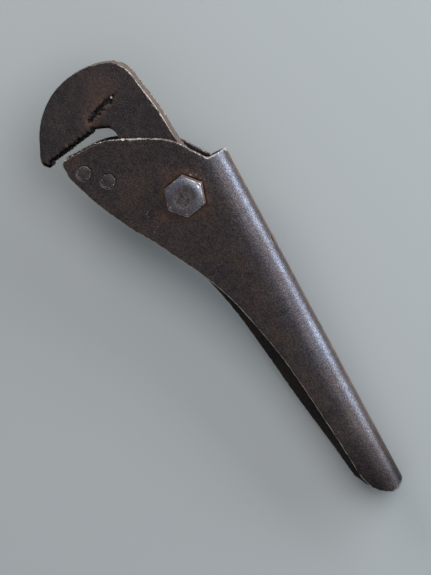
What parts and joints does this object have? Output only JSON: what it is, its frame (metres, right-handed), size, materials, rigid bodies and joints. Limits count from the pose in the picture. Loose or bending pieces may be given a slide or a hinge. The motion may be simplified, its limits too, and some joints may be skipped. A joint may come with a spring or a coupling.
{
  "type": "pipe wrench",
  "caption": "Small pressed-steel pipe wrench: a folded sheet handle holds a toothed heel jaw, and a forged hook jaw turns on a hex bolt between its cheeks.",
  "frame": {"origin": "on the pivot axis, in the end face of the bolt", "axes": "+X along the handle towards the jaws, +Y towards the open side of the jaws, +Z along the pivot towards the bolt head"},
  "size_m": [0.2017, 0.0662, 0.0318],
  "materials": {
    "patinated_sheet_steel": "dark brown patina, worn bright at the sheet's edges",
    "dark_forged_steel": "dark forging scale with light rust",
    "rivet_steel": "hammered flush, dark",
    "worn_bolt_steel": "worn grey zinc with brown stains",
    "bushing_bronze": "oily, dull",
    "spring_steel": "blued, dull"
  },
  "bodies": {
    "handle": {"handle_shell": "patinated_sheet_steel", "heel_jaw": "dark_forged_steel", "front_rivet": "rivet_steel", "rear_rivet": "rivet_steel", "pivot_bushing": "bushing_bronze", "pivot_bolt": "worn_bolt_steel", "lock_washer": "worn_bolt_steel", "pivot_nut": "worn_bolt_steel", "jaw_spring": "spring_steel", "spring_rivet": "rivet_steel"},
    "hook": {"hook_jaw": "dark_forged_steel"}
  },
  "joints": [
    {"name": "hook_pivot", "type": "hinge", "parent": "handle", "child": "hook", "pos_m": [0, 0, 0.01795], "axis": [0, 0, -1], "range_deg": [0, 30], "stiffness_Nm_per_rad": 0.25, "springref_deg": -17.19, "deforming": ["jaw_spring"]}
  ]
}
